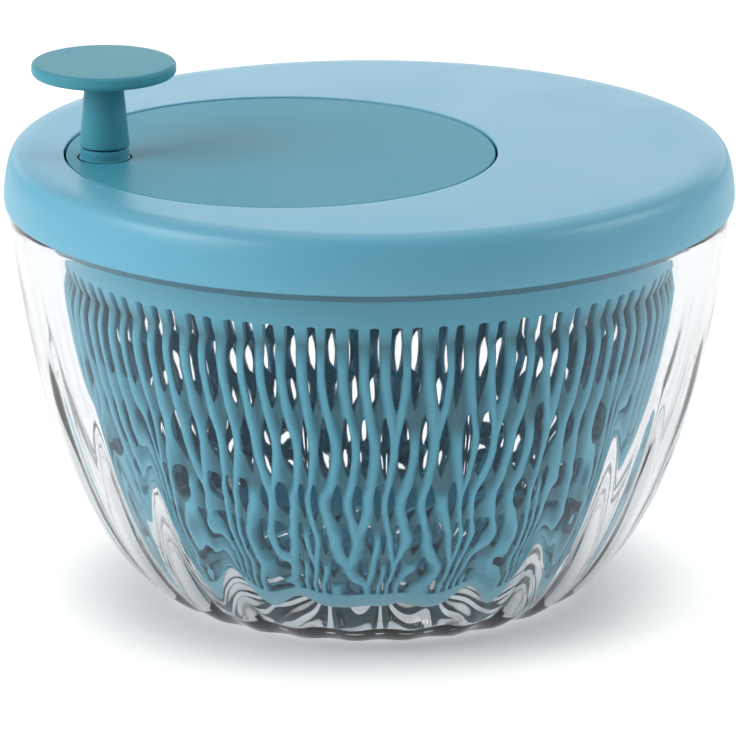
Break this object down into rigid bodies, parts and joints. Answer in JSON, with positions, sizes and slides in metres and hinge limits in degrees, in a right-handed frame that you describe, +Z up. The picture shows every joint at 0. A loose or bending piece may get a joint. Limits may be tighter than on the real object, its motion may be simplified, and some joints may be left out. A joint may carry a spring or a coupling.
{
  "type": "salad spinner",
  "caption": "Salad spinner: clear fluted bowl, slotted basket turning on a pivot foot, and a geared lid whose off-centre crank disc is wound by a mushroom knob.",
  "frame": {"origin": "centre of the bowl's flat base, on the surface that it stands on", "axes": "+Z up along the bowl's axis; the front is -Y; the crank disc is set off towards -X"},
  "size_m": [0.28, 0.28, 0.2116],
  "materials": {
    "bowl": "clear moulded plastic, polished",
    "basket": "moulded, satin gloss",
    "lid": "moulded, satin gloss",
    "crank_disc": "moulded, satin",
    "knob": "moulded, satin",
    "drive_plate": "moulded, satin gloss",
    "gears": "natural acetal",
    "bushes": "natural acetal",
    "pivot_foot": "natural acetal",
    "axle": "turned",
    "fasteners": "plated"
  },
  "bodies": {
    "bowl": {"bowl": "bowl"},
    "pivot": {"pivot_foot": "pivot_foot"},
    "basket": {"basket": "basket"},
    "lid": {"lid_cover": "lid", "lid_base": "lid", "crank_bush": "bushes", "pinion_bush": "bushes", "lid_screw_1": "fasteners", "lid_screw_2": "fasteners", "lid_screw_3": "fasteners", "lid_screw_4": "fasteners", "lid_screw_5": "fasteners", "lid_screw_6": "fasteners"},
    "crank": {"crank_disc": "crank_disc", "crank_gear": "gears", "gear_screw_1": "fasteners", "gear_screw_2": "fasteners", "gear_screw_3": "fasteners", "crank_washer": "fasteners", "crank_screw": "fasteners", "knob_axle": "axle", "knob_axle_screw": "fasteners", "knob_washer": "fasteners", "knob_screw": "fasteners"},
    "knob": {"knob_stem": "knob", "knob_cap": "knob"},
    "drive": {"pinion": "gears", "drive_plate": "drive_plate", "drive_washer": "fasteners", "drive_screw": "fasteners"}
  },
  "joints": [
    {"name": "lid_lift", "type": "slide", "parent": "bowl", "child": "lid", "axis": [0, 0, 1], "range_m": [0, 0.32]},
    {"name": "basket_lift", "type": "slide", "parent": "bowl", "child": "pivot", "axis": [0, 0, 1], "range_m": [0, 0.16]},
    {"name": "basket_spin", "type": "hinge", "parent": "pivot", "child": "basket", "pos_m": [0, 0, 0.0105], "axis": [0, 0, 1], "continuous": true},
    {"name": "crank_spin", "type": "hinge", "parent": "lid", "child": "crank", "pos_m": [-0.03525, 0, 0.16], "axis": [0, 0, 1], "continuous": true},
    {"name": "drive_spin", "type": "hinge", "parent": "lid", "child": "drive", "pos_m": [0, 0, 0.16], "axis": [0, 0, 1], "continuous": true},
    {"name": "knob_spin", "type": "hinge", "parent": "crank", "child": "knob", "pos_m": [-0.10163, 0.0117, 0.1789], "axis": [0, 0, 1], "continuous": true}
  ],
  "couplings": [
    {"joint": "basket_lift", "follows": "lid_lift", "ratio": 0.5},
    {"joint": "drive_spin", "follows": "crank_spin", "ratio": 4.1333},
    {"joint": "basket_spin", "follows": "crank_spin", "ratio": 4.1333}
  ]
}
